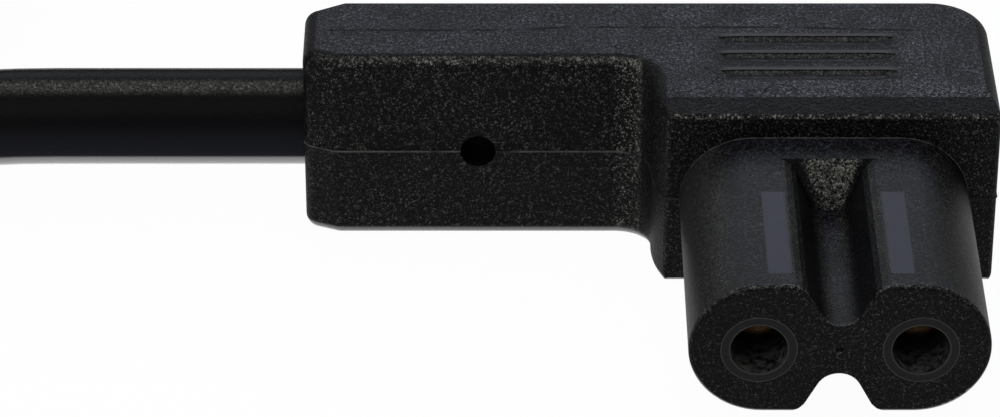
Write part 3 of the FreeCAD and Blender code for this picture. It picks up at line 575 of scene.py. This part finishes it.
# Painted shade on the aprons before the grooves.
skin = blend(apron_shades * (1 - peaks) * 0.9, skin, APRON_SHADE)
feed(shader, Base_Color=blend(top_line, skin, LINE_COLOUR))
feed(shader, Roughness=0.33 + worms * 0.24 - sparkle * 0.1)
feed(shader, Coat_Weight=(-up).ramp(0.15, 0.4) * (1 - on_plug) * 0.9)
emboss(shader, (worms + grit * 0.7) * (1 - smooth * 0.75) - top_line * 0.6, strength=1.0, depth=0.09)
print("grip material:", len(place.tree.nodes), "nodes")

# %% [markdown]
# ## Contact carrier
#
# A rigid insert holds the contacts. It shows in the nose as two smooth ribs and as a ring round each
# hole, with a fine painted highlight at both edges of the ring. Separate materials would need the solid cut
# up, so one material tells ribs, rings and bores apart by how far a point is from a bore's axis.

# %% Contact carrier
BORE_X = 4.3
BORE_RADIUS = 1.55
RING_RADIUS = 2.05
# The dark lines along both edges of a rib: place, half width and softness.
RIB_EDGES = ((2.62, 0.035, 0.03), (3.87, 0.015, 0.02))
CARRIER_SCALE = 2500
RIB_SHEEN_DARK = (0.0085, 0.0092, 0.0205)
RIB_SHEEN_LIGHT = (0.0130, 0.0138, 0.0280)
RING_DARK = (0.003, 0.003, 0.0035)
RING_LIGHT = (0.006, 0.006, 0.007)
BORE_PAINTED_LIGHT = (0.05, 0.05, 0.048)
RING_EDGE_HIGHLIGHT = (0.06, 0.06, 0.058)

carrier_paint, shader, place = new_material("carrier_plastic", Specular_IOR_Level=0.12)
x, y, z = position(place)
up = direction(place)[2]
even = noise(place, CARRIER_SCALE)
beside_bore = abs(x) - BORE_X
above_bore = z - PART
from_bore = (beside_bore * beside_bore + above_bore * above_bore) ** 0.5
end_face = (-y).ramp(-NOSE_END - 0.15, -NOSE_END - 0.05)
rings = sum(from_bore.near(radius, 0.02, 0.05) for radius in (BORE_RADIUS, RING_RADIUS)) * end_face
outline = sum(abs(x).near(*edge) for edge in RIB_EDGES)
on_rib = up.ramp(0.7, 0.9) * from_bore.ramp(1.6, 1.8) * (1 - outline)
in_bore = (1 - from_bore.ramp(1.56, 1.6)) * (-y).ramp(20.0, 23.5) * (1 - end_face)
# The ribs face up and take a lighter, cool copy of the carrier's colour: a painted sheen.
plain = blend(on_rib, blend(even, RING_DARK, RING_LIGHT), blend(even, RIB_SHEEN_DARK, RIB_SHEEN_LIGHT))
# Patches of painted light inside the bores, where their walls catch light.
plain = blend(in_bore * even.ramp(0.3, 0.7), plain, BORE_PAINTED_LIGHT)
# A painted highlight along both edges of each ring.
feed(shader, Base_Color=blend(rings * 0.6, plain, RING_EDGE_HIGHLIGHT))
feed(shader, Roughness=0.4 + even * 0.12)
emboss(shader, even, strength=0.1, depth=0.03)
print("carrier material:", len(place.tree.nodes), "nodes")

# %% [markdown]
# ## Sheath of the lead
#
# The lead was drawn through a die, so its skin is smoother than the grip's. In the photograph it is
# nearly black with one grainy band of light along its upper front. A lamp could be placed for that
# band, but it would fall on the grip too, so the band follows the facing of the skin. Underneath,
# near the grip, a clear coat mirrors the white table.

# %% Sheath of the lead
SHEATH_DARK = (0.0030, 0.0030, 0.0033)
SHEATH_LIGHT = (0.0042, 0.0042, 0.0046)
SHEATH_PAINTED_BOUNCE = (0.0105, 0.0110, 0.0150)
SHEATH_PAINTED_BAND = (0.17, 0.168, 0.155)
SHEATH_PATCHES = 120

lead_paint, shader, place = new_material(
    "lead_pvc", Specular_IOR_Level=0.02, Coat_IOR=2.3, Coat_Roughness=0.1
)
x, y = position(place)[:2]
back, up = direction(place)[1:]
worms, grit, grain = mould_grain(place)
# A painted band of light along the lead's upper front.
band = (-back).near(0.35, 0.04, 0.20) * up.ramp(0.3, 0.6)
sparkle = (broad_grains(grain) * 0.28 + grain_tips(grain) * 0.34 + 0.06) * band
near_grip = x.ramp(-62.0, -50.0) * (1 - y.ramp(3.0, 6.0))
skin = blend(noise(place, SHEATH_PATCHES), SHEATH_DARK, SHEATH_LIGHT)
# The lower side is painted lighter, as light bounced up from the floor.
skin = blend((-up).ramp(-0.5, 0.2), skin, SHEATH_PAINTED_BOUNCE)
feed(shader, Base_Color=blend(sparkle, skin, SHEATH_PAINTED_BAND))
feed(shader, Roughness=0.2 + worms * 0.14)
feed(shader, Coat_Weight=(-up).ramp(0.41, 0.50) * near_grip)
emboss(shader, worms + grit * 0.5, strength=0.5, depth=0.05)
lead_curve.materials.append(lead_paint)
print("sheath material:", len(place.tree.nodes), "nodes")

# %% [markdown]
# ## Metals and small plastics
#
# The pins are rubbed nickel, the conductors copper, the sleeves, the tie and the cores plain plastic.
# Each real surface varies a little in colour and gloss together, so one noise moves both, at the
# scale of the thing it shows. The brass contacts also darken with depth, where no light reaches.

# %% Metals and small plastics
# The dark and the light colour of each.
NICKEL = ((0.58, 0.56, 0.52), (0.72, 0.70, 0.66))
COPPER = ((0.66, 0.30, 0.17), (0.80, 0.42, 0.26))
SLEEVE = ((0.006, 0.006, 0.007), (0.009, 0.009, 0.010))
TIE = ((0.008, 0.008, 0.009), (0.013, 0.013, 0.014))
BROWN = ((0.10, 0.04, 0.018), (0.14, 0.06, 0.03))
BLUE = ((0.02, 0.07, 0.30), (0.03, 0.10, 0.38))
BRASS = ((0.42, 0.23, 0.11), (0.60, 0.36, 0.19))
BRASS_DEEP = (0.10, 0.06, 0.035)


def even_material(name, scale, colours, gloss, detail=2.0, **constants):
    """A material whose colour and roughness follow one noise; gloss is (least roughness, spread)."""
    material, shader, place = new_material(name, **constants)
    varied = noise(place, scale, detail)
    least, spread = gloss
    feed(shader, Base_Color=blend(varied, *colours), Roughness=least + varied * spread)
    return material


even_paints = {
    "pin_nickel": even_material("pin_nickel", 900, NICKEL, (0.14, 0.20), detail=4.0, Metallic=1.0),
    "copper": even_material("copper", 3000, COPPER, (0.22, 0.20), Metallic=1.0),
    "sleeve_plastic": even_material("sleeve_plastic", 2000, SLEEVE, (0.26, 0.10), Specular_IOR_Level=0.3),
    "tie_plastic": even_material("tie_plastic", 1500, TIE, (0.40, 0.15), Specular_IOR_Level=0.25),
    "core_brown": even_material("core_brown", 1500, BROWN, (0.30, 0.12)),
    "core_blue": even_material("core_blue", 1500, BLUE, (0.30, 0.12)),
}

brass_paint, shader, place = new_material("contact_brass", Metallic=1.0)
drawn = noise(place, 4000)
deep = position(place)[1].ramp(-20.0, -19.2)
feed(shader, Base_Color=blend(deep, blend(drawn, *BRASS), BRASS_DEEP))
feed(shader, Roughness=0.25 + drawn * 0.2)
print("even materials:", len(even_paints), "and brass")

# %% [markdown]
# ### Materials on the solids
#
# Each solid could be named here beside its material. The record already says which finish a solid
# has, as a slot, and reading it there saves a second list of names that could go wrong.

# %% Materials on the solids
paint_of_slot = {
    **even_paints,
    "grip_pvc": grip_paint,
    "plug_pvc": grip_paint,
    "carrier_plastic": carrier_paint,
    "bridge_plastic": carrier_paint,
    "contact_brass": brass_paint,
    "lead_pvc": lead_paint,
}
for part in frame["record"]["subparts"]:
    mesh = node[part["node"]].data
    mesh.materials.clear()
    mesh.materials.append(paint_of_slot[part["material_slot"]])

# %% [markdown]
# ## Mould seams, made with Geometry Nodes
#
# Where the two halves of the mould met, a hair of plastic stands proud all round the grip, and
# another round the root of the nose. Each could be modelled by hand as a thin strip. A node group
# does it for any path: it takes a plain chain of corners, rounds each corner by its own radius,
# and sweeps a small diamond along the result. The same group then serves the grip, the nose and
# the plug, with only the corners and the width changed.

# %% Helpers for node groups
ARC_POINTS = 8


def add(tree, kind, **settings):
    """Add a node to a tree and set its options."""
    made = tree.nodes.new(kind)
    for key, value in settings.items():
        setattr(made, key, value)
    return made


def link(tree, source, output, target, socket):
    """Join an output of one node to a socket of another."""
    tree.links.new(source.outputs[output], target.inputs[socket])


def new_group(name, output, **inputs):
    """A node group for a modifier, with the nodes that hold its inputs and its output."""
    tree = bpy.data.node_groups.new(name, "GeometryNodeTree")
    tree.is_modifier = True
    for key, kind in inputs.items():
        label = key.replace("_", " ")
        tree.interface.new_socket(name=label, in_out="INPUT", socket_type="NodeSocket" + kind)
    tree.interface.new_socket(name=output, in_out="OUTPUT", socket_type="NodeSocketGeometry")
    return tree, add(tree, "NodeGroupInput"), add(tree, "NodeGroupOutput")


def rounded_path(tree, given):
    """The nodes that both groups share: a chain of corners becomes a rounded curve."""
    corner = add(tree, "GeometryNodeInputNamedAttribute", data_type="FLOAT")
    corner.inputs["Name"].default_value = "corner"
    chain = add(tree, "GeometryNodeMeshToCurve")
    rounded = add(tree, "GeometryNodeFilletCurve", mode="POLY")
    rounded.inputs["Count"].default_value = ARC_POINTS
    link(tree, given, "Path", chain, "Mesh")
    link(tree, chain, "Curve", rounded, "Curve")
    link(tree, corner, "Attribute", rounded, "Radius")
    return rounded


def finish_group(tree, given, source, output, result, name):
    """Every group ends by making its instances real and giving them their material."""
    real = add(tree, "GeometryNodeRealizeInstances")
    paint = add(tree, "GeometryNodeSetMaterial")
    link(tree, source, output, real, "Geometry")
    link(tree, real, "Geometry", paint, "Geometry")
    link(tree, given, "Material", paint, "Material")
    link(tree, paint, "Geometry", result, name)
    print(tree.name, "group:", len(tree.nodes), "nodes")


# %% Seam group
DIAMOND_SIDES = 4

seam_tree, given, result = new_group(
    "mould_seam", "Seam", Path="Geometry", Half_width="Float", Material="Material"
)
rounded = rounded_path(seam_tree, given)
diamond = add(seam_tree, "GeometryNodeCurvePrimitiveCircle", mode="RADIUS")
diamond.inputs["Resolution"].default_value = DIAMOND_SIDES
sweep = add(seam_tree, "GeometryNodeCurveToMesh")
sweep.inputs["Fill Caps"].default_value = True
link(seam_tree, given, "Half width", diamond, "Radius")
link(seam_tree, rounded, "Curve", sweep, "Curve")
link(seam_tree, diamond, "Curve", sweep, "Profile Curve")
finish_group(seam_tree, given, sweep, "Mesh", result, "Seam")

# %% [markdown]
# ### From a chain to a piece
#
# A node group needs a mesh to work on and leaves a modifier behind. The helper below makes the chain
# of corners, runs a group on it, keeps the result as a plain mesh with its faces outwards, and lets
# the piece ride with the connector.


# %% Growing a piece
def grow(name, tree, corners, slot, closed=False, **values):
    """Make a piece by running a group on a chain of corners, each (x, y, z, radius) in mm."""
    count = len(corners)
    edges = [(i, i + 1) for i in range(count - 1)] + ([(count - 1, 0)] if closed else [])
    chain = bpy.data.meshes.new(name)
    chain.from_pydata([Vector(corner[:3]) * MM for corner in corners], edges, [])
    radii = chain.attributes.new("corner", "FLOAT", "POINT")
    for i, corner in enumerate(corners):
        radii.data[i].value = corner[3] * MM
    piece = bpy.data.objects.new(name, chain)
    bpy.context.scene.collection.objects.link(piece)
    nodes = piece.modifiers.new("nodes", "NODES")
    nodes.node_group = tree
    for item in tree.interface.items_tree:
        key = item.name.replace(" ", "_")
        if item.in_out == "INPUT" and key in values:
            nodes[item.identifier] = values[key]
    ready = piece.evaluated_get(bpy.context.evaluated_depsgraph_get())
    swept = bpy.data.meshes.new_from_object(ready)
    piece.modifiers.clear()
    piece.data = swept
    outward = bmesh.new()
    outward.from_mesh(swept)
    bmesh.ops.recalc_face_normals(outward, faces=outward.faces)
    outward.to_mesh(swept)
    outward.free()
    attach(piece, "root")
    print(name, len(swept.polygons), "faces")
    return piece


# %% [markdown]
# ### Seams of the connector
#
# The seam is a broken line where the mould wore at its edge, and its paleness is a painted highlight
# where the ridge catches the lamps. It gets painted shade where it runs into the inner corner and across
# the head's front. The grip's seam starts and ends at the locating mark on the front of the arm, so its
# chain is open. The nose has a closed one.

# %% Seams of the connector
SEAM_DARK = (0.006, 0.006, 0.006)
SEAM_HIGHLIGHT = (0.075, 0.075, 0.07)
WEAR_SCALE = 900
FINE_SCALE = 6000
SEAM_HALF = 0.06
NOSE_SEAM_HALF = 0.036
ARM_FRONT = -3.95
ARM_LEFT = -29.15
GRIP_BACK = 3.3
HEAD_RIGHT = 9.65
NOSE_HALF = (8.05, 4.0)
NOSE_CORNER = 3.99

seam_paint, shader, place = new_material("seam_pvc", Specular_IOR_Level=0.12)
y, z = position(place)[1:]
fine = noise(place, FINE_SCALE)
# Painted highlight on the seam, broken where the mould wore, with painted shade in front of the arm.
seam_shade = (-y).ramp(4.0, 4.3) * z.near(PART, 0.2, 0.1)
wear_and_highlight = noise(place, WEAR_SCALE, detail=3.0).ramp(0.32, 0.62) * (fine * 0.8 + 0.4) * (1 - seam_shade * 0.8)
feed(shader, Base_Color=blend(wear_and_highlight, SEAM_DARK, SEAM_HIGHLIGHT), Roughness=0.35 + fine * 0.2)

grip_corners = [
    (MARK_X + 1, ARM_FRONT, PART, 0),
    (-9.5, ARM_FRONT, PART, 2.0),
    (-9.5, -7.3, PART, 6.0),
    (-8.8, HEAD_FRONT, PART, 0.35),
    (HEAD_RIGHT, HEAD_FRONT, PART, 0.35),
    (HEAD_RIGHT, GRIP_BACK, PART, 3.2),
    (-27.0, GRIP_BACK, PART, 0.8),
    (ARM_LEFT, 2.1, PART, 0.8),
    (ARM_LEFT, -3.2, PART, 0.8),
    (-27.35, ARM_FRONT, PART, 0.8),
    (MARK_X - 1, ARM_FRONT, PART, 0),
]
nose_corners = [
    (side * NOSE_HALF[0], HEAD_FRONT - 0.02, PART + rise * NOSE_HALF[1], NOSE_CORNER)
    for side, rise in ((-1, -1), (1, -1), (1, 1), (-1, 1))
]
grow("grip_seam", seam_tree, grip_corners, "grip_pvc", Half_width=SEAM_HALF * MM, Material=seam_paint)
grow(
    "nose_seam",
    seam_tree,
    nose_corners,
    "grip_pvc",
    closed=True,
    Half_width=NOSE_SEAM_HALF * MM,
    Material=seam_paint,
)

# %% [markdown]
# ### Seams of the plug
#
# The plug was moulded in two halves as well, so a seam runs down each of its sides, from the pins to
# the strain relief. They could be drawn one by one, but they are mirror images, so one loop makes both.

# %% Seams of the plug
PLUG_HALF = 17.65
RELIEF_HALF = 7.8

for name, side in (("plug_seam_left", 1), ("plug_seam_right", -1)):
    corners = [
        (-2.4, PLUG_Y + side * PLUG_HALF, PLUG_Z, 0),
        (-9.0, PLUG_Y + side * PLUG_HALF, PLUG_Z, 6.0),
        (-25.5, PLUG_Y + side * RELIEF_HALF, PLUG_Z, 0),
    ]
    seam = grow(name, seam_tree, corners, "plug_pvc", Half_width=SEAM_HALF * MM, Material=seam_paint)

# %% [markdown]
# ### Hairlines
#
# Two fine dark hairlines lie on the head's top, one at the left end of the finger grooves and one in
# front of them. Drawn in the material they would be lost in the grain, so they are the seam group
# again, thinner and darker.

# %% Hairlines
HAIR = ((0.0004, 0.0004, 0.0005), (0.003, 0.003, 0.0035))
HAIR_HALF = 0.024

hair_paint = even_material("hairline", FINE_SCALE, HAIR, (0.5, 0.2), Specular_IOR_Level=0.05)
left_hair = [(-6.55, -4.5, GRIP_TOP, 0), (-5.75, -5.5, GRIP_TOP, 0.5), (-6.65, -6.8, GRIP_TOP, 0)]
right_hair = [
    (-3.4, -7.0, GRIP_TOP, 0),
    (-2.5, -6.3, GRIP_TOP, 0.5),
    (-1.6, -6.85, GRIP_TOP, 0.3),
    (-1.66, -7.2, GRIP_TOP, 0),
]
for name, corners in (("hairline_left", left_hair), ("hairline_right", right_hair)):
    grow(name, seam_tree, corners, "grip_pvc", Half_width=HAIR_HALF * MM, Material=hair_paint)

# %% [markdown]
# ## Ridges of the tie
#
# The band that holds the coil is ridged across so that it grips. One ridge could be copied by
# hand along the band; a second node group places them instead. It shares the rounded path of
# the seam group, spaces points along it, and sets a small rod across the band at each point.

# %% Ridge group
ROD_SIDES = 10
ACROSS = (math.pi / 2, 0, 0)

ridge_tree, given, result = new_group(
    "band_ridges",
    "Ridges",
    Path="Geometry",
    Spacing="Float",
    Rod_radius="Float",
    Rod_length="Float",
    Material="Material",
)
rounded = rounded_path(ridge_tree, given)
spaced = add(ridge_tree, "GeometryNodeResampleCurve", mode="LENGTH")
rod = add(ridge_tree, "GeometryNodeMeshCylinder")
rod.inputs["Vertices"].default_value = ROD_SIDES
across = add(ridge_tree, "GeometryNodeTransform")
across.inputs["Rotation"].default_value = ACROSS
placed = add(ridge_tree, "GeometryNodeInstanceOnPoints")
link(ridge_tree, rounded, "Curve", spaced, "Curve")
link(ridge_tree, given, "Spacing", spaced, "Length")
link(ridge_tree, given, "Rod radius", rod, "Radius")
link(ridge_tree, given, "Rod length", rod, "Depth")
link(ridge_tree, rod, "Mesh", across, "Geometry")
link(ridge_tree, spaced, "Curve", placed, "Points")
link(ridge_tree, across, "Geometry", placed, "Instance")
finish_group(ridge_tree, given, placed, "Instances", result, "Ridges")

# %% Ridges on the tie
RIDGE_INSET = 0.18
RIDGE_SPACING = 1.1
RIDGE_RADIUS = 0.3
RIDGE_FOOT = 3.0
TIE_CORNER = 1.9
TIE_EDGE = 0.4

tie_low, tie_high = [[v / MM for v in corner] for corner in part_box("coil_tie")]
tie_y = (tie_low[1] + tie_high[1]) / 2
left_x = tie_low[0] + RIDGE_INSET
right_x = tie_high[0] - RIDGE_INSET
top_z = tie_high[2] - RIDGE_INSET
tie_ridges = grow(
    "tie_ridges",
    ridge_tree,
    [
        (left_x, tie_y, RIDGE_FOOT, 0),
        (left_x, tie_y, top_z, TIE_CORNER),
        (right_x, tie_y, top_z, TIE_CORNER),
        (right_x, tie_y, RIDGE_FOOT, 0),
    ],
    "tie_plastic",
    Spacing=RIDGE_SPACING * MM,
    Rod_radius=RIDGE_RADIUS * MM,
    Rod_length=(tie_high[1] - tie_low[1] - 2 * TIE_EDGE) * MM,
    Material=even_paints["tie_plastic"],
)
print("tie", [round(v, 2) for v in tie_low + tie_high])

# %% [markdown]
# ## Finish
#
# Last, the view layer is updated.

# %% Finish
bpy.context.view_layer.update()
